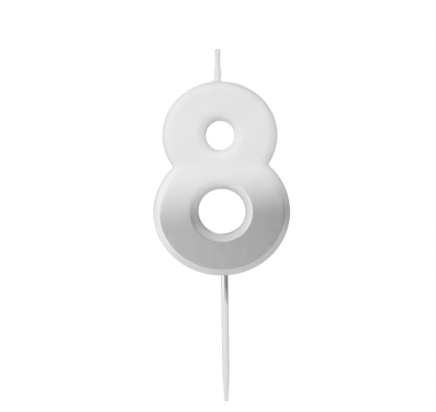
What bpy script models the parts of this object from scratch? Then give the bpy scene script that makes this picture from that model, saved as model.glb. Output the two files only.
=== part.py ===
# Number birthday candle: a cast wax figure eight with a plaited cotton wick, on a plastic pick.
# Metres, +Z up. The face of the eight looks along -Y. The origin is on the pick's axis, at the lowest
# point of the wax body, where the candle sits on a cake.
import math
from collections import namedtuple

import bmesh
import bpy
import numpy as np
from mathutils import Vector

# Wax body: two overlapping oval loops, each with an oval eye
LOWER_HALF_WIDTH = 0.0246
LOWER_HALF_HEIGHT = 0.0230
UPPER_HALF_WIDTH = 0.0208
UPPER_HALF_HEIGHT = 0.0195
LOOP_SPACING = 0.0275
BODY_THICKNESS = 0.0110
LOWER_EYE_HALF_WIDTH = 0.0087
LOWER_EYE_HALF_HEIGHT = 0.0082
UPPER_EYE_HALF_WIDTH = 0.0053
UPPER_EYE_HALF_HEIGHT = 0.0053
RIM_CHAMFER_WIDTH = 0.0021
EYE_CHAMFER_WIDTH = 0.0023
CHAMFER_DEPTH = 0.0020
WAIST_FILLET_RADIUS = 0.0007

# Silver lacquer film on the lower loop and on the neck of the pick
FILM_THICKNESS = 0.00015
FILM_GAP = 0.00015
PICK_FILM_LENGTH = 0.0125

# Wick: three plaited yarns in a sleeve of wax
WICK_SHOWN = 0.0114
WICK_COVER = 0.0032
YARN_DIAMETER = 0.00044
YARN_GAP = 0.00006
PLAIT_PITCH = 0.0064
FRAY_LENGTH = 0.0004
FRAY_SPREAD = 1.5
SLEEVE_WALL = 0.00012
BEAD_HEIGHT = 0.0050
BEAD_THICKNESS = 0.00035
COLLAR_HEIGHT = 0.0010
COLLAR_LIP = 0.0004
COLLAR_SPREAD = 0.0013

# Pick: round plastic stick with a barbed end cast into the wax
PICK_DIAMETER = 0.0026
PICK_SHOWN = 0.0462
PICK_TAPER_LENGTH = 0.0080
PICK_TIP_DIAMETER = 0.0014
PICK_COVER = 0.0048
BARB_COUNT = 3
BARB_START = 0.0020
BARB_SPACING = 0.0001
BARB_REACH = 0.0006

# Room between the wax and what is cast into it
CAST_GAP = 0.0003

# Fineness of the curved surfaces
ARC_STEPS = 30
FILLET_STEPS = 4
EYE_STEPS = 48
TURN_STEPS = 24
PLAIT_STEPS = 14
BEAD_STEPS = 5
COLLAR_STEPS = 4
SHARP_EDGE = math.radians(25)
MERGE_DISTANCE = 1e-7
SOLVER_ROUNDS = 12
HALVINGS = 60

Oval = namedtuple("Oval", "height half_width half_height")

lower_loop = Oval(LOWER_HALF_HEIGHT, LOWER_HALF_WIDTH, LOWER_HALF_HEIGHT)
upper_loop = Oval(LOWER_HALF_HEIGHT + LOOP_SPACING, UPPER_HALF_WIDTH, UPPER_HALF_HEIGHT)
lower_eye = Oval(lower_loop.height, LOWER_EYE_HALF_WIDTH, LOWER_EYE_HALF_HEIGHT)
upper_eye = Oval(upper_loop.height, UPPER_EYE_HALF_WIDTH, UPPER_EYE_HALF_HEIGHT)
body_top = upper_loop.height + UPPER_HALF_HEIGHT
film_recess = FILM_THICKNESS + FILM_GAP

yarn_pitch = YARN_DIAMETER + YARN_GAP
yarn_spacing = yarn_pitch * math.hypot(1, math.tau * yarn_pitch / PLAIT_PITCH)
plait_reach = yarn_spacing * 7 / math.sqrt(48) + YARN_DIAMETER / 2
sleeve_bore = plait_reach + YARN_GAP
sleeve_radius = sleeve_bore + SLEEVE_WALL
channel_radius = sleeve_radius + CAST_GAP
wick_top = body_top + WICK_SHOWN
wick_foot = upper_eye.height + UPPER_EYE_HALF_HEIGHT + WICK_COVER
collar_lip = channel_radius + COLLAR_LIP
collar_root = channel_radius + COLLAR_SPREAD

pick_radius = PICK_DIAMETER / 2
neck_radius = pick_radius - film_recess
anchor_top = LOWER_HALF_HEIGHT - LOWER_EYE_HALF_HEIGHT - PICK_COVER


def point_on(oval, angle):
    return Vector((oval.half_width * math.cos(angle), 0, oval.height + oval.half_height * math.sin(angle)))


def normal_on(oval, angle):
    return Vector((math.cos(angle) / oval.half_width, 0, math.sin(angle) / oval.half_height)).normalized()


def crossing_height():
    """Height at which the outlines of the two loops cross."""

    def width(oval, height):
        across = 1 - ((height - oval.height) / oval.half_height) ** 2
        return oval.half_width * math.sqrt(max(across, 0))

    low = upper_loop.height - upper_loop.half_height
    high = lower_loop.height + lower_loop.half_height
    for _ in range(HALVINGS):
        middle = (low + high) / 2
        if width(upper_loop, middle) < width(lower_loop, middle):
            low = middle
        else:
            high = middle
    return middle


def waist_fillet():
    """Angles on the upper and lower loops where the fillet meets them, and the fillet's centre."""

    def centres(angles):
        return [
            point_on(oval, angle) + normal_on(oval, angle) * WAIST_FILLET_RADIUS
            for oval, angle in zip((upper_loop, lower_loop), angles)
        ]

    def miss(angles):
        upper, lower = centres(angles)
        return np.array([upper.x - lower.x, upper.z - lower.z])

    crossing = crossing_height()
    angles = np.array([math.asin((crossing - o.height) / o.half_height) for o in (upper_loop, lower_loop)])
    small = 1e-4
    for _ in range(SOLVER_ROUNDS):
        start = miss(angles)
        slopes = [(miss(angles + small * step) - start) / small for step in np.eye(2)]
        angles = angles - np.linalg.solve(np.array(slopes).T, start)
    return angles[0], angles[1], centres(angles)[0]


def body_outline():
    """Points and outward normals round the eight, from the top down its right side and up its left."""
    upper_end, lower_start, centre = waist_fillet()
    side = []
    for angle in np.linspace(math.pi / 2, upper_end, ARC_STEPS + 1):
        side.append((point_on(upper_loop, angle), normal_on(upper_loop, angle)))
    first = -normal_on(upper_loop, upper_end)
    last = -normal_on(lower_loop, lower_start)
    turn = first.angle(last)
    for step in range(1, FILLET_STEPS):
        share = step / FILLET_STEPS
        along = (first * math.sin((1 - share) * turn) + last * math.sin(share * turn)) / math.sin(turn)
        side.append((centre + along * WAIST_FILLET_RADIUS, -along))
    for angle in np.linspace(lower_start, -math.pi / 2, ARC_STEPS + 1):
        side.append((point_on(lower_loop, angle), normal_on(lower_loop, angle)))
    mirror = Vector((-1, 1, 1))
    return side + [(point * mirror, normal * mirror) for point, normal in reversed(side[1:-1])]


def eye_outline(eye):
    """Points round an eye, with normals that point into its opening."""
    angles = [math.tau * step / EYE_STEPS for step in range(EYE_STEPS)]
    return [(point_on(eye, angle), -normal_on(eye, angle)) for angle in angles]


def rim_section(width, skin):
    """Section of a rim with a chamfer that wide as (inset, depth) corners, every surface moved in by skin."""
    lean = 1 + skin * math.hypot(1 / width, 1 / CHAMFER_DEPTH)
    face_inset = width * (lean - skin / CHAMFER_DEPTH)
    side_start = BODY_THICKNESS / 2 - CHAMFER_DEPTH * (lean - skin / width)
    face = BODY_THICKNESS / 2 - skin
    return [(face_inset, -face), (skin, -side_start), (skin, side_start), (face_inset, face)]


def add_ring(mesh, points):
    verts = [mesh.verts.new(point) for point in points]
    return [mesh.edges.new(pair) for pair in zip(verts, verts[1:] + verts[:1])]


def new_object(name, mesh):
    data = bpy.data.meshes.new(name)
    bmesh.ops.recalc_face_normals(mesh, faces=mesh.faces)
    mesh.to_mesh(data)
    mesh.free()
    data.shade_smooth()
    data.set_sharp_from_angle(angle=SHARP_EDGE)
    thing = bpy.data.objects.new(name, data)
    bpy.context.scene.collection.objects.link(thing)
    return thing


def eight(name, skin):
    """The whole chamfered eight as one solid, with every surface moved in by skin."""
    mesh = bmesh.new()
    front, back = [], []
    outlines = [(body_outline(), RIM_CHAMFER_WIDTH)]
    outlines += [(eye_outline(eye), EYE_CHAMFER_WIDTH) for eye in (lower_eye, upper_eye)]
    for outline, width in outlines:
        rings = []
        for inset, depth in rim_section(width, skin):
            move = Vector((0, depth, 0))
            rings.append(add_ring(mesh, [point - normal * inset + move for point, normal in outline]))
        for near, far in zip(rings, rings[1:]):
            bmesh.ops.bridge_loops(mesh, edges=near + far)
        front += rings[0]
        back += rings[-1]
    for rim in (front, back):
        bmesh.ops.triangle_fill(mesh, use_beauty=True, edges=rim)
    return new_object(name, mesh)


def turned(name, profile, is_ring=False):
    """A solid turned round the Z axis from (radius, height) points, from axis to axis or as a closed ring."""
    mesh = bmesh.new()
    verts = [mesh.verts.new((radius, 0, height)) for radius, height in profile]
    edges = [mesh.edges.new(pair) for pair in zip(verts, verts[1:])]
    if is_ring:
        edges.append(mesh.edges.new((verts[-1], verts[0])))
    bmesh.ops.spin(
        mesh,
        geom=verts + edges,
        axis=(0, 0, 1),
        cent=(0, 0, 0),
        angle=math.tau,
        steps=TURN_STEPS,
        use_merge=True,
    )
    bmesh.ops.remove_doubles(mesh, verts=mesh.verts, dist=MERGE_DISTANCE)
    return new_object(name, mesh)


def block_below(name, height):
    """A block that holds all of the body below the given height."""
    half_width = LOWER_HALF_WIDTH + UPPER_HALF_WIDTH
    drop = LOWER_HALF_HEIGHT
    mesh = bmesh.new()
    bmesh.ops.create_cube(mesh, size=1)
    bmesh.ops.scale(mesh, vec=(2 * half_width, 2 * BODY_THICKNESS, height + drop), verts=mesh.verts)
    bmesh.ops.translate(mesh, vec=(0, 0, (height - drop) / 2), verts=mesh.verts)
    return new_object(name, mesh)


def as_cutter(thing):
    thing.hide_render = True
    thing.display_type = "WIRE"
    return thing


def combine(target, tool, operation):
    modifier = target.modifiers.new(tool.name, "BOOLEAN")
    modifier.operation = operation
    modifier.object = tool
    modifier.solver = "EXACT"


def set_material(thing, name, colour, roughness, metallic=0.0):
    material = bpy.data.materials.get(name) or bpy.data.materials.new(name)
    material.use_nodes = True
    shader = material.node_tree.nodes["Principled BSDF"]
    shader.inputs["Base Color"].default_value = (*colour, 1)
    shader.inputs["Roughness"].default_value = roughness
    shader.inputs["Metallic"].default_value = metallic
    thing.data.materials.append(material)


def collar_profile():
    """Wax drawn up round the foot of the wick: a hollow curve from the body's top to the channel's lip."""
    sunk = body_top - COLLAR_HEIGHT
    profile = [(0, body_top + COLLAR_HEIGHT), (collar_lip, body_top + COLLAR_HEIGHT)]
    for step in range(1, COLLAR_STEPS + 1):
        angle = math.pi / 2 * step / COLLAR_STEPS
        radius = collar_root - (collar_root - collar_lip) * math.cos(angle)
        profile.append((radius, body_top + COLLAR_HEIGHT * (1 - math.sin(angle))))
    return profile + [(collar_root, sunk), (0, sunk)]


def anchor_profile(gap):
    """Barbed end of the pick from its top to the mouth of its socket, grown by a gap on every side."""
    root = neck_radius + gap
    profile = [(0, anchor_top + gap), (root, anchor_top + gap)]
    pitch = (anchor_top - BARB_START) / BARB_COUNT
    barb_length = pitch - BARB_SPACING - 2 * CAST_GAP
    for barb in reversed(range(BARB_COUNT)):
        foot = BARB_START + pitch * barb
        profile += [(root, foot + barb_length + gap), (root + BARB_REACH, foot + gap)]
        profile += [(root + BARB_REACH, foot - gap), (root, foot - gap)]
    return profile


def make_wax_body(film_edge):
    body = eight("wax_body", 0)
    collar = as_cutter(turned("wick_collar", collar_profile()))
    recess = as_cutter(block_below("film_recess", film_edge))
    combine(recess, as_cutter(eight("wax_under_film", film_recess)), "DIFFERENCE")
    channel_profile = [(0, wick_top), (channel_radius, wick_top)]
    channel_profile += [(channel_radius, wick_foot - CAST_GAP), (0, wick_foot - CAST_GAP)]
    channel = as_cutter(turned("wick_channel", channel_profile))
    mouth = neck_radius + CAST_GAP
    socket_profile = anchor_profile(CAST_GAP) + [(mouth, -CHAMFER_DEPTH), (0, -CHAMFER_DEPTH)]
    socket = as_cutter(turned("pick_socket", socket_profile))
    combine(body, collar, "UNION")
    for tool in (recess, channel, socket):
        combine(body, tool, "DIFFERENCE")
    set_material(body, "white_wax", (0.80, 0.80, 0.79), 0.45)


def make_body_film(film_edge):
    film = eight("body_silver_film", 0)
    half = as_cutter(block_below("film_extent", film_edge - FILM_GAP))
    inside = as_cutter(eight("film_inside", FILM_THICKNESS))
    hole_radius = neck_radius + FILM_GAP
    hole_profile = [(0, anchor_top), (hole_radius, anchor_top)]
    hole_profile += [(hole_radius, -CHAMFER_DEPTH), (0, -CHAMFER_DEPTH)]
    hole = as_cutter(turned("film_pick_hole", hole_profile))
    combine(film, half, "INTERSECT")
    combine(film, inside, "DIFFERENCE")
    combine(film, hole, "DIFFERENCE")
    set_material(film, "silver_lacquer", (0.62, 0.62, 0.62), 0.32, 0.9)


def make_yarn(name, phase):
    """One yarn of a three-strand plait, spread apart at the cut end of the wick."""
    length = wick_top - wick_foot
    steps = round(PLAIT_STEPS * length / PLAIT_PITCH)
    curve = bpy.data.curves.new(name, "CURVE")
    curve.dimensions = "3D"
    curve.bevel_depth = YARN_DIAMETER / 2
    curve.bevel_resolution = 1
    curve.use_fill_caps = True
    spline = curve.splines.new("POLY")
    spline.points.add(steps)
    for step, point in enumerate(spline.points):
        height = wick_foot + length * step / steps
        turn = math.tau * (height - wick_foot) / PLAIT_PITCH + phase
        fray = max(0, 1 - (wick_top - height) / FRAY_LENGTH)
        spread = yarn_spacing * (1 + (FRAY_SPREAD - 1) * fray)
        point.co = (spread * math.sin(turn), spread / math.sqrt(3) * math.sin(2 * turn), height, 1)
    yarn = bpy.data.objects.new(name, curve)
    bpy.context.scene.collection.objects.link(yarn)
    set_material(yarn, "cotton", (0.84, 0.84, 0.82), 0.9)


def make_wick_sleeve():
    """Wax on the wick, from its buried foot to just below the frayed end, with a bead above the collar."""
    foot = body_top + COLLAR_HEIGHT + CAST_GAP
    end = wick_top - FRAY_LENGTH
    profile = [(sleeve_bore, end), (sleeve_radius, end)]
    for step in reversed(range(BEAD_STEPS + 1)):
        share = step / BEAD_STEPS
        swell = BEAD_THICKNESS * (1 + math.cos(math.pi * share)) / 2
        profile.append((sleeve_radius + swell, foot + BEAD_HEIGHT * share))
    profile += [(sleeve_radius, foot), (sleeve_radius, wick_foot), (sleeve_bore, wick_foot)]
    sleeve = turned("wick_wax_sleeve", profile, is_ring=True)
    set_material(sleeve, "wick_wax", (0.82, 0.82, 0.80), 0.4)


def make_pick():
    shoulder = -PICK_FILM_LENGTH - FILM_GAP
    profile = anchor_profile(0)
    profile += [(neck_radius, shoulder), (pick_radius, shoulder)]
    profile += [(pick_radius, PICK_TAPER_LENGTH - PICK_SHOWN)]
    profile += [(PICK_TIP_DIAMETER / 2, -PICK_SHOWN), (0, -PICK_SHOWN)]
    pick = turned("pick", profile)
    set_material(pick, "white_plastic", (0.82, 0.82, 0.82), 0.35)


def make_pick_film():
    inner = neck_radius + FILM_GAP
    profile = [(inner, -FILM_GAP), (pick_radius, -FILM_GAP)]
    profile += [(pick_radius, -PICK_FILM_LENGTH), (inner, -PICK_FILM_LENGTH)]
    film = turned("pick_silver_film", profile, is_ring=True)
    set_material(film, "silver_lacquer_on_pick", (0.66, 0.66, 0.66), 0.25, 0.9)


def main():
    for thing in list(bpy.data.objects):
        bpy.data.objects.remove(thing)
    film_edge = crossing_height()
    make_wax_body(film_edge)
    make_body_film(film_edge)
    for number, letter in enumerate("abc"):
        make_yarn(f"wick_yarn_{letter}", math.tau * number / 3)
    make_wick_sleeve()
    make_pick()
    make_pick_film()


main()
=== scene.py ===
import math

import bmesh
import bpy
from mathutils import Matrix, Vector


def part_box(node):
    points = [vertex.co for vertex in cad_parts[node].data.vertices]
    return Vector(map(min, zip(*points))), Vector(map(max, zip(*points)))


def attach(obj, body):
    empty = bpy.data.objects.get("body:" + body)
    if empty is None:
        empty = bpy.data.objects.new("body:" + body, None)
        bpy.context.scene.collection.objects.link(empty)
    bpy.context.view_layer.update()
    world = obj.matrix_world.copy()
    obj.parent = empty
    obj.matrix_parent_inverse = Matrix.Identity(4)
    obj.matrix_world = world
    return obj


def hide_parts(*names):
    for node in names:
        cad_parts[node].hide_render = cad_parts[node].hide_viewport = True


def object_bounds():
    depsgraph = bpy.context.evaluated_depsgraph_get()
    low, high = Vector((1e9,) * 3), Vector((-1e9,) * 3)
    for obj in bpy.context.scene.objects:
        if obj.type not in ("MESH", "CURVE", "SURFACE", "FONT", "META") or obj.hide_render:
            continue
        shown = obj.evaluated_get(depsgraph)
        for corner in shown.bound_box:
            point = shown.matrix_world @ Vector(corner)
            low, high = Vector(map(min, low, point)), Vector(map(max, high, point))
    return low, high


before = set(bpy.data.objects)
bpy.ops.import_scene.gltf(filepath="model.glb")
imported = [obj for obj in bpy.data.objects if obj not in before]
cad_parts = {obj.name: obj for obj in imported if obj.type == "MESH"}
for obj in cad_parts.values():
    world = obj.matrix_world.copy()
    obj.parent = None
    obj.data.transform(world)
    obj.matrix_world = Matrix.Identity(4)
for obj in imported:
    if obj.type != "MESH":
        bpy.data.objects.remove(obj)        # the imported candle, in metres, with the face of the eight along -Y
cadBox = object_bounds()
scene = bpy.context.scene
print("candle frame loaded,", len(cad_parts), "nodes")

# lowest and highest corners of the pieces that the visual ones take their sizes from
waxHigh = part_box("wax_body")[1]
filmLow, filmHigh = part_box("body_silver_film")
sleeveLow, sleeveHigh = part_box("wick_wax_sleeve")
yarnLow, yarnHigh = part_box("wick_yarn_a")
pickLow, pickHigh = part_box("pick")
neckLow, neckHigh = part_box("pick_silver_film")

millimetre = 0.001
fitGap = 0.02 * millimetre      # between pieces that sit in each other
mergeGap = 1e-7                 # points closer than this become one
slack = 1e-6                    # for telling whether a point is at a height or radius
outlineSlack = 1e-9             # points this close to a cut lie on it, in the outline and in the solid
solidSlack = 1e-8


# Mesh helpers

def toPiece(name, bm, node, finish, smoothAngle=40):
    bmesh.ops.recalc_face_normals(bm, faces=bm.faces)
    mesh = bpy.data.meshes.new(name)
    bm.to_mesh(mesh)
    bm.free()
    piece = bpy.data.objects.new(name, mesh)
    scene.collection.objects.link(piece)
    mesh.materials.append(finish)
    shade(piece, smoothAngle)
    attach(piece, "root")
    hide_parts(node)
    return piece


def shade(piece, smoothAngle=40):
    # edges sharper than the angle, in degrees, stay crisp
    piece.data.shade_smooth()
    piece.data.set_sharp_from_angle(angle=math.radians(smoothAngle))


def joinInto(bm, other):
    carrier = bpy.data.meshes.new("carrier")
    other.to_mesh(carrier)
    other.free()
    bm.from_mesh(carrier)
    bpy.data.meshes.remove(carrier)


def unique(parts):
    # in a fixed order, so that every run makes the same mesh
    return list(dict.fromkeys(parts))


def ringEdges(verts):
    return unique(edge for vert in verts for edge in vert.link_edges)


def turned(profile, steps, closed=False):
    # spins (radius, height) points round the Z axis
    bm = bmesh.new()
    verts = [bm.verts.new((radius, 0, height)) for radius, height in profile]
    edges = [bm.edges.new(pair) for pair in zip(verts, verts[1:])]
    if closed:
        edges.append(bm.edges.new((verts[-1], verts[0])))
    bmesh.ops.spin(bm, geom=verts + edges, axis=(0, 0, 1), cent=(0, 0, 0), angle=math.tau,
                   steps=steps, use_merge=True)
    bmesh.ops.remove_doubles(bm, verts=bm.verts, dist=mergeGap)
    bmesh.ops.recalc_face_normals(bm, faces=bm.faces)
    return bm


def carve(piece, tools):
    # tools are (operation, bmesh) pairs, applied in turn and then removed
    for operation, bm in tools:
        mesh = bpy.data.meshes.new("tool")
        bm.to_mesh(mesh)
        bm.free()
        tool = bpy.data.objects.new("tool", mesh)
        scene.collection.objects.link(tool)
        cut = piece.modifiers.new("cut", "BOOLEAN")
        cut.operation = operation
        cut.solver = "EXACT"
        cut.object = tool
        shaped = evaluated(piece)
        piece.modifiers.remove(cut)
        old = piece.data
        piece.data = shaped
        bpy.data.meshes.remove(old)
        bpy.data.objects.remove(tool)
        bpy.data.meshes.remove(mesh)


def evaluated(thing):
    bpy.context.view_layer.update()
    return bpy.data.meshes.new_from_object(thing.evaluated_get(bpy.context.evaluated_depsgraph_get()))


def flattenShading(piece):
    # large flats keep their own normals next to the rounded edges
    even = piece.modifiers.new("even", "WEIGHTED_NORMAL")
    even.mode = "FACE_AREA"
    even.weight = 100
    even.keep_sharp = True


# Node helpers

def newFinish(name):
    finish = bpy.data.materials.new(name)
    finish.use_nodes = True
    tree = finish.node_tree
    return finish, tree, tree.nodes["Principled BSDF"]


def put(tree, kind, sockets=None, **settings):
    node = tree.nodes.new(kind)
    for name, value in settings.items():
        setattr(node, name, value)
    for socket, value in (sockets or {}).items():
        join(tree, value, node.inputs[socket])
    return node


def join(tree, value, socket):
    if isinstance(value, bpy.types.NodeSocket):
        tree.links.new(value, socket)
    else:
        socket.default_value = value


def objectSpace(tree):
    place = put(tree, "ShaderNodeTexCoord").outputs["Object"]
    split = put(tree, "ShaderNodeSeparateXYZ", {0: place})
    return place, split.outputs["X"], split.outputs["Y"], split.outputs["Z"]


def calc(tree, operation, *values, clamp=False):
    sockets = dict(enumerate(values))
    return put(tree, "ShaderNodeMath", sockets, operation=operation, use_clamp=clamp).outputs[0]


def grain(tree, place, size, detail=2.0, stretch=None):
    # noise whose lumps are about size across, in metres, drawn out by stretch along each axis
    if stretch:
        place = put(tree, "ShaderNodeMapping", {"Vector": place, "Scale": stretch}).outputs[0]
    sockets = {"Vector": place, "Scale": 1 / size, "Detail": detail}
    return put(tree, "ShaderNodeTexNoise", sockets).outputs["Fac"]


def ramp(tree, value, start, end, low=0.0, high=1.0, soft=True):
    sockets = {"Value": value, "From Min": start, "From Max": end, "To Min": low, "To Max": high}
    kind = "SMOOTHSTEP" if soft else "LINEAR"
    return put(tree, "ShaderNodeMapRange", sockets, interpolation_type=kind).outputs[0]


def tint(tree, share, first, second):
    # inputs 6 and 7 of the node are the two colours, and output 2 is their mix
    node = put(tree, "ShaderNodeMix", {0: share}, data_type="RGBA")
    for socket, colour in ((6, first), (7, second)):
        if not isinstance(colour, bpy.types.NodeSocket):
            colour = (*colour, 1)
        join(tree, colour, node.inputs[socket])
    return node.outputs[2]


def relief(tree, height, strength, distance, under=None):
    sockets = {"Height": height, "Strength": strength, "Distance": distance}
    if under:
        sockets["Normal"] = under
    return put(tree, "ShaderNodeBump", sockets).outputs[0]


def setGlow(shader, reach):
    # how far light travels under the surface, a little less for green and blue
    shader.inputs["Subsurface Radius"].default_value = (1, 0.95, 0.9)
    shader.inputs["Subsurface Scale"].default_value = reach


# Finishes, whose reliefs are a strength and a height

patchRange = (0.35, 0.65)           # part of the noise over which one colour goes into the other
grainRange = (0.3, 0.7)             # part of the noise over which the roughness runs

waxLook = {
    "white": (0.800, 0.800, 0.797),
    "cloud": (0.780, 0.781, 0.780),
    "cloudSize": 9 * millimetre,
    "cloudRelief": (0.25, 0.1 * millimetre),
    "grainSize": 0.35 * millimetre,
    "grainRelief": (0.12, 0.03 * millimetre),
    "rough": (0.46, 0.60),
    "glow": 0.50,                   # share of light that passes under the surface
    "glowReach": 1.2 * millimetre,
    "glowStart": 7 * millimetre,    # height above the silver over which the glow comes in
    # depths below the top between which the glow ends, so that the thin collar stays solid
    "glowEnd": (1.6 * millimetre, 0.9 * millimetre),
}


def waxFinish():
    finish, tree, shader = newFinish("candleWax")
    look = waxLook
    place, _, _, z = objectSpace(tree)
    cloud = grain(tree, place, look["cloudSize"], 3)
    fine = grain(tree, place, look["grainSize"], 3)
    colour = tint(tree, ramp(tree, cloud, *patchRange), look["cloud"], look["white"])
    join(tree, colour, shader.inputs["Base Color"])
    join(tree, ramp(tree, fine, *grainRange, *look["rough"]), shader.inputs["Roughness"])
    glow = ramp(tree, z, filmHigh.z, filmHigh.z + look["glowStart"], 0, look["glow"])
    top = ramp(tree, z, *(waxHigh.z - depth for depth in look["glowEnd"]), 1, 0)
    join(tree, calc(tree, "MULTIPLY", glow, top), shader.inputs["Subsurface Weight"])
    setGlow(shader, look["glowReach"])
    lumps = relief(tree, cloud, *look["cloudRelief"])
    join(tree, relief(tree, fine, *look["grainRelief"], lumps), shader.inputs["Normal"])
    return finish


silverLook = {
    "silver": (0.790, 0.790, 0.795),
    "dull": (0.745, 0.745, 0.750),
    "fadeLength": 21.5 * millimetre,
    "fadeTilt": 0.12,               # the spray reaches higher on the right
    "fadeEdge": 4 * millimetre,     # the coat has thinned out this far below the film's upper edge
    "wobble": 1.5 * millimetre,     # how far the fade wanders up and down
    "wobbleSize": 14 * millimetre,
    "rough": (0.28, 0.31),
    "roughRange": (0.35, 0.7),
    "waveSize": 5 * millimetre,
    "waveRelief": (0.4, 0.1 * millimetre),
    "peelSize": 1.6 * millimetre,
    "peelRelief": (0.10, 0.03 * millimetre),
    "streakSize": 0.5 * millimetre,
    "streakStretch": (1, 1, 0.08),
    "dullRange": (0.56, 0.72),      # part of the streaks that goes from silver to dull
}


def silverFinish():
    finish, tree, shader = newFinish("silverLacquer")
    look = silverLook
    place, x, _, z = objectSpace(tree)
    wobble = grain(tree, place, look["wobbleSize"], 2)
    drift = calc(tree, "MULTIPLY_ADD", wobble, look["wobble"], -look["wobble"] / 2)
    height = calc(tree, "ADD", calc(tree, "MULTIPLY_ADD", x, -look["fadeTilt"], z), drift)
    fade = ramp(tree, height, filmHigh.z, filmHigh.z - look["fadeLength"])
    edge = ramp(tree, z, filmHigh.z, filmHigh.z - look["fadeEdge"])
    cover = calc(tree, "MULTIPLY", fade, edge)
    streaks = grain(tree, place, look["streakSize"], 3, look["streakStretch"])
    metal = tint(tree, ramp(tree, streaks, *look["dullRange"]), look["silver"], look["dull"])
    join(tree, tint(tree, cover, waxLook["white"], metal), shader.inputs["Base Color"])
    join(tree, cover, shader.inputs["Metallic"])
    bright = ramp(tree, streaks, *look["roughRange"], *look["rough"])
    waxRough = sum(waxLook["rough"]) / 2
    rough = calc(tree, "MULTIPLY_ADD", calc(tree, "SUBTRACT", bright, waxRough), cover, waxRough)
    join(tree, rough, shader.inputs["Roughness"])
    wave = relief(tree, grain(tree, place, look["waveSize"], 1), *look["waveRelief"])
    peel = grain(tree, place, look["peelSize"], 2)
    join(tree, relief(tree, peel, *look["peelRelief"], wave), shader.inputs["Normal"])
    return finish


pickLook = {
    "plastic": (0.780, 0.780, 0.780),
    "shadow": (0.760, 0.760, 0.762),
    "silver": (0.82, 0.82, 0.825),
    "rough": (0.30, 0.42),
    "silverRough": 0.10,
    "glossPower": 6,                # the higher, the longer the thin coat stays dull
    # heights on the film between which the coat sets in
    "coatEdge": (4.0 * millimetre, 5.8 * millimetre),
    "coatFull": 11.0 * millimetre,  # height from which the coat is closed
    "coatThin": 0.68,               # cover of the thin coat above its edge
    "coatRagged": 1.0 * millimetre,  # how far the flow lines move the edge of the coat
    "fadeTilt": 2.4,                # the spray reaches lower on the right
    "flowSize": 1.2 * millimetre,
    "flowStretch": (1, 1, 0.15),
    "flowRelief": (0.08, 0.03 * millimetre),
}


def pickFinish(name, silvered):
    finish, tree, shader = newFinish(name)
    look = pickLook
    place, x, _, z = objectSpace(tree)
    flow = grain(tree, place, look["flowSize"], 3, look["flowStretch"])
    plastic = tint(tree, ramp(tree, flow, *patchRange), look["shadow"], look["plastic"])
    rough = ramp(tree, flow, *grainRange, *look["rough"])
    join(tree, relief(tree, flow, *look["flowRelief"]), shader.inputs["Normal"])
    if not silvered:
        join(tree, plastic, shader.inputs["Base Color"])
        join(tree, rough, shader.inputs["Roughness"])
        return finish
    height = calc(tree, "MULTIPLY_ADD", x, look["fadeTilt"], calc(tree, "SUBTRACT", z, neckLow.z))
    height = calc(tree, "ADD", height, calc(tree, "MULTIPLY", flow, look["coatRagged"]))
    closed = ramp(tree, height, look["coatEdge"][1], look["coatFull"], look["coatThin"], 1)
    fade = calc(tree, "MULTIPLY", closed, ramp(tree, height, *look["coatEdge"]))
    join(tree, tint(tree, fade, plastic, look["silver"]), shader.inputs["Base Color"])
    join(tree, fade, shader.inputs["Metallic"])
    bright = calc(tree, "SUBTRACT", look["silverRough"], rough)
    gloss = calc(tree, "POWER", fade, look["glossPower"])
    join(tree, calc(tree, "MULTIPLY_ADD", bright, gloss, rough), shader.inputs["Roughness"])
    return finish


wickLook = {
    "wax": (0.770, 0.770, 0.763),
    "thinWax": (0.745, 0.745, 0.738),
    "cotton": (0.860, 0.855, 0.840),
    "cottonShade": (0.800, 0.795, 0.780),
    "cottonRough": (0.8, 0.95),
    "sheen": 0.25,
    "fibreSize": 0.06 * millimetre,
    "fibreStretch": (1, 1, 0.25),
    "fibreRelief": (0.5, 0.01 * millimetre),
    "patchSize": 0.8 * millimetre,
    "grainSize": 0.15 * millimetre,
    "grainStretch": (1, 1, 0.4),
    "grainRelief": (0.3, 0.02 * millimetre),
    "rough": (0.38, 0.55),
    "glow": 0.15,
    "glowReach": 0.3 * millimetre,
}


def sleeveFinish():
    finish, tree, shader = newFinish("wickWax")
    look = wickLook
    place, _, _, _ = objectSpace(tree)
    patches = grain(tree, place, look["patchSize"], 3)
    fine = grain(tree, place, look["grainSize"], 2, look["grainStretch"])
    colour = tint(tree, ramp(tree, patches, *patchRange), look["thinWax"], look["wax"])
    join(tree, colour, shader.inputs["Base Color"])
    join(tree, ramp(tree, fine, *grainRange, *look["rough"]), shader.inputs["Roughness"])
    join(tree, relief(tree, fine, *look["grainRelief"]), shader.inputs["Normal"])
    shader.inputs["Subsurface Weight"].default_value = look["glow"]
    setGlow(shader, look["glowReach"])
    return finish


def cottonFinish():
    finish, tree, shader = newFinish("wickCotton")
    look = wickLook
    place, _, _, _ = objectSpace(tree)
    fibre = grain(tree, place, look["fibreSize"], 3, look["fibreStretch"])
    colour = tint(tree, ramp(tree, fibre, *patchRange), look["cottonShade"], look["cotton"])
    join(tree, colour, shader.inputs["Base Color"])
    join(tree, ramp(tree, fibre, *grainRange, *look["cottonRough"]), shader.inputs["Roughness"])
    join(tree, relief(tree, fibre, *look["fibreRelief"]), shader.inputs["Normal"])
    shader.inputs["Sheen Weight"].default_value = look["sheen"]
    return finish


wax = waxFinish()
silver = silverFinish()
sleeveWax = sleeveFinish()
cotton = cottonFinish()
plastic = pickFinish("pickPlastic", False)
pickSilver = pickFinish("pickSilver", True)
print("finishes made")


# Wax body and its silver film

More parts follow.
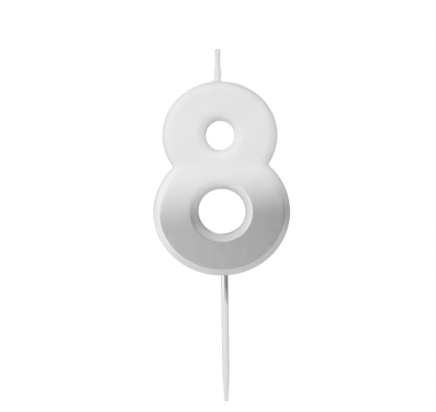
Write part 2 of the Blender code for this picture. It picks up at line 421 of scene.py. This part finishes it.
figure = {
    "lowerHalfHeight": 23.0 * millimetre,
    "upperHalfWidth": 20.7 * millimetre,
    "upperHalfHeight": 19.3 * millimetre,
    "loopSpacing": 27.5 * millimetre,
    "lowerEye": (8.7 * millimetre, 8.2 * millimetre),
    "upperEye": (5.3 * millimetre, 5.3 * millimetre),
    "rimChamfer": 2.1 * millimetre,
    "eyeChamfer": 2.3 * millimetre,
    "chamferDepth": 2.0 * millimetre,
    "silverRound": 0.35 * millimetre,
    "waxRound": 1.4 * millimetre,   # the edges of the bare wax are softer
    "crispHeight": 24 * millimetre,  # heights between which the rounding grows
    "softHeight": 33 * millimetre,
    "faceMargin": 1.8 * millimetre,  # even band of the face that the rounding runs out on
    "roundSteps": 5,
    "ridgeAngle": 0.4,              # radians between faces, above which an edge is rounded
    "ridgeSlope": 0.3,              # most that such an edge may run from front to back
    "joinGap": 0.03 * millimetre,   # the cut ovals are joined where their ends are this close
    "notchReach": 1.0 * millimetre,  # how far from the waist's corners the outline is worn
    "notchPasses": 8,
    "loopSteps": 360,
    "eyeSteps": 168,
    "waistSteps": 48,
    "filmThickness": 0.20 * millimetre,
    "filmRecess": 0.24 * millimetre,
}

lowerHalfWidth = filmHigh.x
bodyThickness = filmHigh.y - filmLow.y
lowerHeight = figure["lowerHalfHeight"]
upperHeight = lowerHeight + figure["loopSpacing"]
bodyTop = upperHeight + figure["upperHalfHeight"]
filmTop = filmHigh.z


def ovalPlace(height, halfWidth, halfHeight):
    stand = Matrix.Rotation(math.pi / 2, 4, "X")
    return Matrix.Translation((0, 0, height)) @ Matrix.Diagonal((halfWidth, 1, halfHeight, 1)) @ stand


def crossingHeight(lower, upper):
    # height at which the outlines of the two loops meet
    def width(oval, height):
        return oval[1] * math.sqrt(max(0, 1 - ((height - oval[0]) / oval[2]) ** 2))

    low, high = upper[0] - upper[2], lower[0] + lower[2]
    for _ in range(50):             # halves the span until it is as good as nothing
        middle = (low + high) / 2
        low, high = (middle, high) if width(upper, middle) < width(lower, middle) else (low, middle)
    return middle


def eightOutline(bm, lower, upper):
    # two ovals cut where they cross, joined, with the notches at the waist worn round
    notch = crossingHeight(lower, upper)
    for oval in (lower, upper):
        place = ovalPlace(*oval)
        ring = bmesh.ops.create_circle(bm, segments=figure["loopSteps"], radius=1, matrix=place)["verts"]
        bmesh.ops.bisect_plane(bm, geom=ring + ringEdges(ring), dist=outlineSlack, plane_co=(0, 0, notch),
                               plane_no=(0, 0, 1), clear_inner=oval is upper, clear_outer=oval is lower)
    bmesh.ops.remove_doubles(bm, verts=bm.verts, dist=figure["joinGap"])
    corners = [vert for vert in bm.verts if abs(vert.co.z - notch) < slack]
    worn = [v for v in bm.verts if min((v.co - c.co).length for c in corners) < figure["notchReach"]]
    for _ in range(figure["notchPasses"]):
        bmesh.ops.smooth_vert(bm, verts=worn, factor=0.5, use_axis_x=True, use_axis_z=True)
    return notch


def chamferRing(bm, edges, width):
    # insets the disc inside a closed loop and leaves its middle open; returns the outer and inner loops
    disc = bmesh.ops.edgeloop_fill(bm, edges=edges)["faces"]
    band = bmesh.ops.inset_region(bm, faces=disc, thickness=width, use_boundary=True,
                                  use_even_offset=True)["faces"]
    outer = unique(edge for face in band for edge in face.edges if edge.is_boundary)
    inner = list(disc[0].edges)
    bmesh.ops.delete(bm, geom=disc, context="FACES_ONLY")
    return outer, inner


def isRidge(edge):
    # a sharp edge that runs round the figure, not through its thickness
    along = (edge.verts[0].co - edge.verts[1].co).normalized()
    return edge.calc_face_angle() > figure["ridgeAngle"] and abs(along.y) < figure["ridgeSlope"]


def edgeRound(place):
    height = place.z - silverLook["fadeTilt"] * place.x
    share = (height - figure["crispHeight"]) / (figure["softHeight"] - figure["crispHeight"])
    share = min(1, max(0, share))
    share *= share * (3 - 2 * share)    # eases in and out
    return figure["silverRound"] * (1 - share) + figure["waxRound"] * share


def roundRidges(bm):
    # bevels the ridges by weight, so that the rounding grows from the silver up to the bare wax
    weight = bm.edges.layers.float.new("bevel_weight_edge")
    for edge in bm.edges:
        if isRidge(edge):
            edge[weight] = edgeRound((edge.verts[0].co + edge.verts[1].co) / 2) / figure["waxRound"]
    mesh = bpy.data.meshes.new("ridges")
    bm.to_mesh(mesh)
    bm.free()
    ridges = bpy.data.objects.new("ridges", mesh)
    scene.collection.objects.link(ridges)
    bevel = ridges.modifiers.new("round", "BEVEL")
    bevel.affect = "EDGES"
    bevel.limit_method = "WEIGHT"
    bevel.width = figure["waxRound"]
    bevel.segments = figure["roundSteps"]
    bevel.profile = 0.5
    bevel.material = -1
    bevel.use_clamp_overlap = False
    shaped = evaluated(ridges)
    rounded = bmesh.new()
    rounded.from_mesh(shaped)
    bpy.data.objects.remove(ridges)
    bpy.data.meshes.remove(mesh)
    bpy.data.meshes.remove(shaped)
    return rounded


def figureEight(skin):
    # the whole chamfered eight, every surface moved in by skin
    bm = bmesh.new()
    lower = (lowerHeight, lowerHalfWidth - skin, figure["lowerHalfHeight"] - skin)
    upper = (upperHeight, figure["upperHalfWidth"] - skin, figure["upperHalfHeight"] - skin)
    notch = eightOutline(bm, lower, upper)
    rim, brow = chamferRing(bm, bm.edges[:], figure["rimChamfer"])
    rims = [rim]
    _, brow = chamferRing(bm, brow, figure["faceMargin"])
    # a straight seam across the waist parts the face into a band round each eye
    near = unique(v for e in brow for v in e.verts if abs(v.co.z - notch) < figure["rimChamfer"])
    ends = [min((v for v in near if v.co.x * side > 0), key=lambda v: abs(v.co.x)) for side in (-1, 1)]
    waistHeight = ends[0].co.z
    known = set(bm.edges)
    bmesh.ops.subdivide_edges(bm, edges=[bm.edges.new(ends)], cuts=figure["waistSteps"] - 1)
    waist = [edge for edge in bm.edges if edge not in known]
    lowerSide = [e for e in brow if e.verts[0].co.z + e.verts[1].co.z < 2 * waistHeight]
    upperSide = [e for e in brow if e not in lowerSide]
    for side, oval, eye in ((lowerSide, lower, "lowerEye"), (upperSide, upper, "upperEye")):
        room = skin + figure["eyeChamfer"] + figure["faceMargin"]
        place = ovalPlace(oval[0], *(size + room for size in figure[eye]))
        ring = bmesh.ops.create_circle(bm, segments=figure["eyeSteps"], radius=1, matrix=place)["verts"]
        eyeBand, eyeBrow = chamferRing(bm, ringEdges(ring), figure["faceMargin"])
        _, eyeRim = chamferRing(bm, eyeBrow, figure["eyeChamfer"])
        rims.append(eyeRim)
        bmesh.ops.bridge_loops(bm, edges=side + waist + eyeBand)
    # the flat drawing becomes the front, its rims drop to the side walls, and a mirrored copy is the back
    face = bodyThickness / 2 - skin
    bmesh.ops.translate(bm, verts=bm.verts, vec=(0, -face, 0))
    rimVerts = unique(vert for rim in rims for edge in rim for vert in edge.verts)
    bmesh.ops.translate(bm, verts=rimVerts, vec=(0, figure["chamferDepth"], 0))
    twins = bmesh.ops.duplicate(bm, geom=bm.verts[:] + bm.edges[:] + bm.faces[:])
    copied = [part for part in twins["geom"] if isinstance(part, bmesh.types.BMVert)]
    bmesh.ops.scale(bm, verts=copied, vec=(1, -1, 1))
    for rim in rims:
        bmesh.ops.bridge_loops(bm, edges=rim + [twins["edge_map"][edge] for edge in rim])
    bmesh.ops.recalc_face_normals(bm, faces=bm.faces)
    return roundRidges(bm)


def halfEight(skin, above):
    # what lies above or below the upper edge of the silver
    bm = figureEight(skin)
    bmesh.ops.bisect_plane(bm, geom=bm.verts[:] + bm.edges[:] + bm.faces[:], dist=solidSlack,
                           plane_co=(0, 0, filmTop), plane_no=(0, 0, 1), clear_inner=above,
                           clear_outer=not above)
    return bm


def bridgeRims(bm):
    bmesh.ops.bridge_loops(bm, edges=[edge for edge in bm.edges if edge.is_boundary])


collar = {
    "spread": 1.1 * millimetre,
    "lean": 0.8,                    # the wax is drawn out by this share more on the left, less on the right
    "sink": 0.12 * millimetre,      # the curve ends this far inside the wax
    "root": 2 * millimetre,         # how deep the tool reaches into the wax
    "curveSteps": 14,
    "turnSteps": 72,
}


def collarTool():
    # a hollow curve from the foot of the wick down to the wax
    lip = sleeve["radius"] + beadSwell(0, 0)
    foot = bodyTop - collar["sink"]
    profile = [(0, waxHigh.z), (lip, waxHigh.z)]
    for step in range(1, collar["curveSteps"] + 1):
        angle = math.pi / 2 * step / collar["curveSteps"]
        out = collar["spread"] * (1 - math.cos(angle))
        profile.append((lip + out, foot + (waxHigh.z - foot) * (1 - math.sin(angle))))
    sunk = bodyTop - collar["root"]
    profile += [(lip + collar["spread"], sunk), (0, sunk)]
    bm = turned(profile, collar["turnSteps"])
    for vert in bm.verts:
        radius = vert.co.xy.length
        if radius > lip:
            drawn = 1 - collar["lean"] * vert.co.x / radius
            vert.co.xy *= (lip + (radius - lip) * drawn) / radius
    return atWickFoot(bm)


def wickHole():
    radius = sleeve["radius"] + fitGap
    above = waxHigh.z + millimetre
    profile = [(0, above), (radius, above), (radius, sleeveLow.z), (0, sleeveLow.z)]
    return atWickFoot(turned(profile, sleeve["steps"]))


def atWickFoot(bm):
    bmesh.ops.scale(bm, verts=bm.verts, vec=(1, sleeve["flat"], 1))
    bmesh.ops.translate(bm, verts=bm.verts, vec=(wick["footShift"], 0, 0))
    return bm


def pickSocket():
    below = -pickSizes["socketReach"]
    mouth = [(pickSizes["neckRadius"] + fitGap, below), (0, below)]
    return leaned(turned(anchorProfile(fitGap) + mouth, pickSizes["socketSteps"]))


def makeWaxBody():
    # full size above, and set back below to make room for the film
    bm = halfEight(0, True)
    joinInto(bm, halfEight(figure["filmRecess"], False))
    bridgeRims(bm)
    piece = toPiece("wax_eight", bm, "wax_body", wax)
    carve(piece, [("UNION", collarTool()), ("DIFFERENCE", wickHole()), ("DIFFERENCE", pickSocket())])
    shade(piece)
    flattenShading(piece)


def makeBodyFilm():
    bm = halfEight(0, False)
    inside = halfEight(figure["filmThickness"], False)
    bmesh.ops.reverse_faces(inside, faces=inside.faces)
    joinInto(bm, inside)
    bridgeRims(bm)
    piece = toPiece("silver_film", bm, "body_silver_film", silver)
    carve(piece, [("DIFFERENCE", pickSocket())])
    shade(piece)
    flattenShading(piece)


# Wick: three plaited yarns in a sleeve of wax

wick = {
    "spacing": 0.557 * millimetre,  # how far the yarns swing out from the middle
    "pitch": 6.4 * millimetre,      # height over which the plait repeats
    "yarnDiameter": 0.44 * millimetre,
    "frayLength": 1.4 * millimetre,
    "fraySpread": 1.2,              # how far the yarns part at the top, against lower down
    "tuft": 1.5,                    # how much a yarn opens at its cut end
    "tipRoom": 0.1 * millimetre,    # below the top of the solid yarns, for the slant of the cut ends
    "filamentRings": (1, 6, 12),    # filaments in each ring of a yarn, from its middle outwards
    "filamentDiameter": 0.088 * millimetre,
    "twist": 2.2 * millimetre,      # height of one turn of the filaments
    "stepLength": 0.4 * millimetre,
    "footShift": -0.4 * millimetre,  # the wick stands a little left of the middle and leans back to it
    "topShift": -0.1 * millimetre,
}

sleeve = {
    "radius": 0.92 * millimetre,
    "bore": 0.80 * millimetre,
    "beadHeight": 5.0 * millimetre,
    "beadPeak": 0.35,               # where the bead is thickest, as a share of its height
    "beadFoot": 0.65,               # its thickness at the foot, as a share of the thickest
    "beadThickness": 0.31 * millimetre,
    "beadSide": 0.25,               # it is this share thicker on the right and thinner on the left
    "flareLength": 2.0 * millimetre,
    "flare": 0.22 * millimetre,     # how much wider the wick gets at its top
    "flat": 0.78,                   # the plait is flat, so the wick is thinner from front to back
    "lumps": 0.2,                   # how much of the yarns' shape shows through the wax
    "cover": 0.16 * millimetre,     # thickness of the wax over the yarns
    "plug": 0.8 * millimetre,       # wax that closes the sleeve round the cut ends of the yarns
    # the cut end from its rim inwards, as shares of the radius and depths below the top in millimetres
    "cutEnd": ((0.97, 0.04), (0.91, 0.0), (0.82, 0.03), (0.65, 0.12), (0.40, 0.17), (0, 0.18)),
    "cutRound": 0.12 * millimetre,
    "rings": 110,
    "steps": 48,
}

wickFoot = yarnLow.z
wickTop = yarnHigh.z - wick["tipRoom"]


def wickAxis(height):
    share = min(1, max(0, (height - bodyTop) / (wickTop - bodyTop)))
    return Vector((wick["footShift"] + (wick["topShift"] - wick["footShift"]) * share, 0, 0))


def frayed(height):
    return max(0, 1 - (wickTop - height) / wick["frayLength"])


def yarnSwing(height, phase):
    turn = math.tau * (height - wickFoot) / wick["pitch"] + phase
    spread = wick["spacing"] * (1 + (wick["fraySpread"] - 1) * frayed(height))
    return Vector((spread * math.sin(turn), spread / math.sqrt(3) * math.sin(2 * turn), 0))


def beadSwell(share, rightness):
    rise = math.sin(math.pi / 2 * min(1, share / sleeve["beadPeak"]))
    fall = min(1, max(0, share - sleeve["beadPeak"]) / (1 - sleeve["beadPeak"]))
    profile = sleeve["beadFoot"] + (1 - sleeve["beadFoot"]) * rise
    profile *= (1 + math.cos(math.pi * fall)) / 2
    return sleeve["beadThickness"] * profile * (1 + sleeve["beadSide"] * rightness * rise)


def makeSleeve():
    foot = waxHigh.z
    top = sleeveHigh.z
    radius = sleeve["radius"]
    bore = sleeve["bore"]
    plugFoot = top - sleeve["plug"]
    wall = top - sleeve["cutRound"] - foot
    profile = [(0, plugFoot), (bore, plugFoot), (bore, sleeveLow.z), (radius, sleeveLow.z)]
    profile += [(radius, foot + wall * step / sleeve["rings"]) for step in range(sleeve["rings"] + 1)]
    profile += [(radius * share, top - depth * millimetre) for share, depth in sleeve["cutEnd"]]
    bm = turned(profile, sleeve["steps"])
    # the yarns show through the wax as lumps, and the wax runs into a bead at the foot
    for vert in bm.verts:
        height = vert.co.z
        across = vert.co.xy.length
        outward = Vector((vert.co.x, vert.co.y, 0)).normalized()
        outside = across > bore + slack or height > plugFoot + slack
        if outside and height > foot - slack:
            reach = max(yarnSwing(height, math.tau * k / 3).dot(outward) for k in range(3))
            lumpy = reach + wick["yarnDiameter"] / 2 + sleeve["cover"]
            share = (height - foot) / sleeve["beadHeight"]
            lumps = sleeve["lumps"] * min(1, 2 * share)
            flare = sleeve["flare"] * max(0, 1 - (top - height) / sleeve["flareLength"]) ** 2
            swollen = radius * (1 - lumps) + lumpy * lumps + flare + beadSwell(share, outward.x)
            vert.co = outward * swollen * across / radius + Vector((0, 0, height))
        vert.co.y *= sleeve["flat"]
        vert.co += wickAxis(height)
    toPiece("wick_sleeve", bm, "wick_wax_sleeve", sleeveWax, smoothAngle=60)


def yarnCurve(phase):
    # fine filaments twisted round each other, opening into a tuft at the cut end
    curve = bpy.data.curves.new("yarn", "CURVE")
    curve.dimensions = "3D"
    curve.bevel_depth = wick["filamentDiameter"] / 2
    curve.bevel_resolution = 1
    curve.use_fill_caps = True
    length = wickTop - wickFoot
    steps = round(length / wick["stepLength"])
    outerRing = (wick["yarnDiameter"] - wick["filamentDiameter"]) / 2
    for ring, count in enumerate(wick["filamentRings"]):
        reach = outerRing * ring / (len(wick["filamentRings"]) - 1)
        for filament in range(count):
            spline = curve.splines.new("POLY")
            spline.points.add(steps)
            for step, point in enumerate(spline.points):
                height = wickFoot + length * step / steps
                turn = math.tau * (height / wick["twist"] + filament / count)
                offset = Vector((math.cos(turn), math.sin(turn), 0)) * reach
                offset *= 1 + (wick["tuft"] - 1) * frayed(height)
                middle = yarnSwing(height, phase) + wickAxis(height) + Vector((0, 0, height))
                point.co = (*(middle + offset), 1)
    return curve


def makeYarn(letter, phase):
    curve = yarnCurve(phase)
    strand = bpy.data.objects.new("strand", curve)
    scene.collection.objects.link(strand)
    mesh = evaluated(strand)
    bm = bmesh.new()
    bm.from_mesh(mesh)
    bmesh.ops.remove_doubles(bm, verts=bm.verts, dist=mergeGap)
    bpy.data.objects.remove(strand)
    bpy.data.curves.remove(curve)
    bpy.data.meshes.remove(mesh)
    toPiece("yarn_" + letter, bm, "wick_yarn_" + letter, cotton, smoothAngle=60)


# Pick and the silver on its neck

pickSizes = {
    "neckRadius": 1.0 * millimetre,
    "barbs": 3,
    "barbStart": 2.0 * millimetre,
    "barbReach": 0.6 * millimetre,
    "barbSpacing": 0.7 * millimetre,
    "taperLength": 10.5 * millimetre,
    "taperSwell": 0.35,             # how much fuller than a straight cone the taper is
    "taperSteps": 10,
    "tipLength": 1.0 * millimetre,
    "tipRadius": 0.72 * millimetre,
    "tipRound": 0.25 * millimetre,
    "tipSteps": 5,
    "shaftRows": (0.75, 0.5, 0.25),  # shares of the straight length at which it has rows of points
    "lean": 0.011,                  # the pick sits a little askew, so its neck is right of the middle
    "leanFoot": 0.75,               # share of the way down to the tip where it crosses the middle
    "steps": 64,
    "socketReach": 2 * millimetre,  # how far the tool for the socket stands out below the wax
    "socketSteps": 48,
}


def leaned(bm):
    middle = pickSizes["leanFoot"] * pickLow.z
    for vert in bm.verts:
        vert.co.x += pickSizes["lean"] * (vert.co.z - middle)
    return bm


def anchorProfile(room):
    # barbed end that is cast into the wax, from its top down, grown by room on every side
    radius = pickSizes["neckRadius"] + room
    barbRadius = radius + pickSizes["barbReach"]
    pitch = (pickHigh.z - pickSizes["barbStart"]) / pickSizes["barbs"]
    profile = [(0, pickHigh.z + room), (radius, pickHigh.z + room)]
    for barb in reversed(range(pickSizes["barbs"])):
        foot = pickSizes["barbStart"] + pitch * barb
        profile += [(radius, foot + pitch - pickSizes["barbSpacing"] + room), (barbRadius, foot + room)]
        profile += [(barbRadius, foot - room), (radius, foot - room)]
    return profile


def makePick():
    radius = neckHigh.x
    shoulder = neckLow.z
    tip = pickLow.z
    edge = pickSizes["tipRound"]
    tipTop = tip + pickSizes["tipLength"]
    taper = tipTop + pickSizes["taperLength"]
    profile = anchorProfile(0) + [(pickSizes["neckRadius"], shoulder), (radius, shoulder)]
    profile += [(radius, taper + (shoulder - taper) * share) for share in pickSizes["shaftRows"]]
    for step in reversed(range(pickSizes["taperSteps"] + 1)):
        share = step / pickSizes["taperSteps"]
        full = share * (1 + pickSizes["taperSwell"] * (1 - share))
        wide = pickSizes["tipRadius"] + (radius - pickSizes["tipRadius"]) * full
        profile.append((wide, tipTop + pickSizes["taperLength"] * share))
    for step in range(pickSizes["tipSteps"] + 1):
        angle = math.pi / 2 * step / pickSizes["tipSteps"]
        inward = pickSizes["tipRadius"] - edge * (1 - math.cos(angle))
        profile.append((inward, tip + edge * (1 - math.sin(angle))))
    profile.append((0, tip))
    bm = leaned(turned(profile, pickSizes["steps"]))
    toPiece("pick_shaft", bm, "pick", plastic, smoothAngle=30)


def makePickFilm():
    radius = neckHigh.x
    inner = pickSizes["neckRadius"] + fitGap
    profile = [(inner, 0), (radius, 0), (radius, neckLow.z / 2), (radius, neckLow.z), (inner, neckLow.z)]
    bm = leaned(turned(profile, pickSizes["steps"], closed=True))
    toPiece("pick_film", bm, "pick_silver_film", pickSilver, smoothAngle=30)


makeWaxBody()
print("wax eight made")
makeBodyFilm()
print("silver film made")
makeSleeve()
for number, letter in enumerate("abc"):
    makeYarn(letter, math.tau * number / 3)
print("wick made")
makePick()
makePickFilm()
print("pick made")


# Floor, light and camera

studio = {
    "floorRadius": 0.40,
    "floorSteps": 96,
    "floorFade": (0.12, 0.36),      # distances in metres between which the floor runs out into the white
    "floorColour": (0.80, 0.80, 0.80),
    "floorRough": 0.9,
    "floorCover": 0.35,
    "floorGlow": 0.36,
    # bearing and rise in degrees, distance and size in metres, power in watts
    "lamps": {"key": (-50, 18, 0.45, 0.4, 0.80), "fill": (70, 5, 1.1, 0.9, 2.3),
              "back": (180, 15, 1.1, 0.9, 10.0)},
    "dome": (0.89, 0.16),           # soft light from all round, in front and behind
    "domeBelow": 0.70,              # weaker from below and from above
    "domeAbove": 0.85,
    "domeBlend": 0.3,
    # what the silver mirrors, by bearing in degrees, 0 in front of the candle and 90 on its right
    "round": ((-180, 0.95), (-178.5, 0.95), (-176, 0.38), (-150, 0.35), (-125, 0.50), (-104, 1.00),
              (-75, 1.10), (-45, 1.10), (-25, 1.05), (-12, 0.84), (-6, 0.61), (-2, 0.41), (2, 0.25),
              (7, 0.17), (14, 0.17), (22, 0.33), (32, 0.50), (42, 0.44), (49, 0.25), (55, 0.02), (66, 0.02),
              (76, 0.49), (84, 0.52), (100, 0.34), (122, 0.30), (142, 0.33), (176, 0.33), (178.5, 0.95),
              (180, 0.95)),
    "above": 0.78,                  # what it mirrors from over and under the ring of bearings
    "below": 0.57,
    "sideFall": 0.25,               # above and below, the right is darker than the left
    "beltAbove": (0.22, 0.62),      # how far up and down the ring of bearings reaches
    "beltBelow": (0.45, 0.80),
}


def makeFloor():
    bm = bmesh.new()
    bmesh.ops.create_circle(bm, cap_ends=True, segments=studio["floorSteps"], radius=studio["floorRadius"])
    bmesh.ops.translate(bm, verts=bm.verts, vec=(0, 0, cadBox[0][2]))
    mesh = bpy.data.meshes.new("floor")
    bm.to_mesh(mesh)
    bm.free()
    floor = bpy.data.objects.new("floor", mesh)
    scene.collection.objects.link(floor)
    finish, tree, shader = newFinish("paleFloor")
    place, _, _, _ = objectSpace(tree)
    flatPlace = put(tree, "ShaderNodeVectorMath", {0: place, 1: (1, 1, 0)}, operation="MULTIPLY").outputs[0]
    distance = put(tree, "ShaderNodeVectorMath", {0: flatPlace}, operation="LENGTH").outputs["Value"]
    shader.inputs["Base Color"].default_value = (*studio["floorColour"], 1)
    shader.inputs["Roughness"].default_value = studio["floorRough"]
    shader.inputs["Specular IOR Level"].default_value = 0
    shader.inputs["Emission Color"].default_value = (1, 1, 1, 1)
    rays = put(tree, "ShaderNodeLightPath").outputs
    seen = calc(tree, "MAXIMUM", rays["Is Camera Ray"], rays["Is Glossy Ray"])
    seen = calc(tree, "MAXIMUM", seen, rays["Is Transmission Ray"])
    join(tree, calc(tree, "MULTIPLY", seen, studio["floorGlow"]), shader.inputs["Emission Strength"])
    join(tree, ramp(tree, distance, *studio["floorFade"], studio["floorCover"], 0), shader.inputs["Alpha"])
    mesh.materials.append(finish)


def makeWorld():
    world = bpy.data.worlds.new("studio")
    scene.world = world
    world.use_nodes = True
    tree = world.node_tree
    back = tree.nodes["Background"]
    way = put(tree, "ShaderNodeTexCoord").outputs["Generated"]
    x, y, z = put(tree, "ShaderNodeSeparateXYZ", {0: way}).outputs
    bearing = calc(tree, "ARCTAN2", x, calc(tree, "MULTIPLY", y, -1.0))
    ring = put(tree, "ShaderNodeValToRGB", {0: ramp(tree, bearing, -math.pi, math.pi, soft=False)})
    ring.color_ramp.interpolation = "EASE"
    stops = ring.color_ramp.elements
    while len(stops) < len(studio["round"]):
        stops.new(0.5)
    for stop, (angle, strength) in zip(stops, studio["round"]):
        stop.position = (angle + 180) / 360
        stop.color = (strength, strength, strength, 1)
    blend = studio["domeBlend"]
    middle = ramp(tree, z, -blend, blend, studio["below"], studio["above"])
    poles = calc(tree, "MULTIPLY_ADD", x, -studio["sideFall"], middle)
    high = ramp(tree, z, *studio["beltAbove"])
    low = ramp(tree, calc(tree, "MULTIPLY", z, -1.0), *studio["beltBelow"])
    mirrored = tint(tree, calc(tree, "ADD", high, low), ring.outputs["Color"], poles)
    dome = ramp(tree, y, -blend, blend, *studio["dome"])
    below = ramp(tree, z, -blend, blend, studio["domeBelow"], 1)
    above = ramp(tree, z, blend, 1, 1, studio["domeAbove"])
    dome = calc(tree, "MULTIPLY", dome, calc(tree, "MULTIPLY", below, above))
    # the camera sees plain white, glossy rays see the surroundings, and the dome lights the rest
    rays = put(tree, "ShaderNodeLightPath").outputs
    seen = calc(tree, "MAXIMUM", rays["Is Camera Ray"], rays["Is Transmission Ray"])
    lit = tint(tree, rays["Is Glossy Ray"], dome, mirrored)
    join(tree, tint(tree, seen, lit, (1, 1, 1)), back.inputs["Color"])
    back.inputs["Strength"].default_value = 1


def bearingPoint(bearing, rise, distance):
    across = math.cos(math.radians(rise)) * distance
    angle = math.radians(bearing)
    height = math.sin(math.radians(rise)) * distance
    return Vector((math.sin(angle) * across, -math.cos(angle) * across, height))


def aim(thing, target, roll=0):
    way = Vector(target) - thing.location
    turn = way.to_track_quat("-Z", "Y") @ Matrix.Rotation(math.radians(roll), 3, "Z").to_quaternion()
    thing.rotation_euler = turn.to_euler()


def makeLamps():
    middle = Vector((0, 0, lowerHeight))
    for name, (bearing, rise, distance, size, power) in studio["lamps"].items():
        light = bpy.data.lights.new(name, "AREA")
        light.shape = "SQUARE"
        light.size = size
        light.energy = power
        lamp = bpy.data.objects.new(name, light)
        lamp.location = middle + bearingPoint(bearing, rise, distance)
        lamp.visible_glossy = False     # the silver mirrors the surroundings alone
        scene.collection.objects.link(lamp)
        aim(lamp, middle)


view = {
    "distance": 0.42,
    "yaw": 3.0,
    "rise": 2.5,
    "roll": -1.45,
    "target": (-1.38 * millimetre, 0, 24.98 * millimetre),
    "lens": 95.7,                   # lens and sensor in millimetres
    "sensor": 36,
    "nearest": 0.01,                # nothing closer to the camera than this is drawn
}


def makeCamera():
    data = bpy.data.cameras.new("camera")
    data.lens = view["lens"]
    data.sensor_width = view["sensor"]
    data.clip_start = view["nearest"]
    camera = bpy.data.objects.new("camera", data)
    camera.location = Vector(view["target"]) + bearingPoint(view["yaw"], view["rise"], view["distance"])
    scene.collection.objects.link(camera)
    aim(camera, view["target"], view["roll"])
    scene.camera = camera


makeFloor()
makeWorld()
makeLamps()
makeCamera()
scene.view_settings.view_transform = "Standard"
print("studio made")
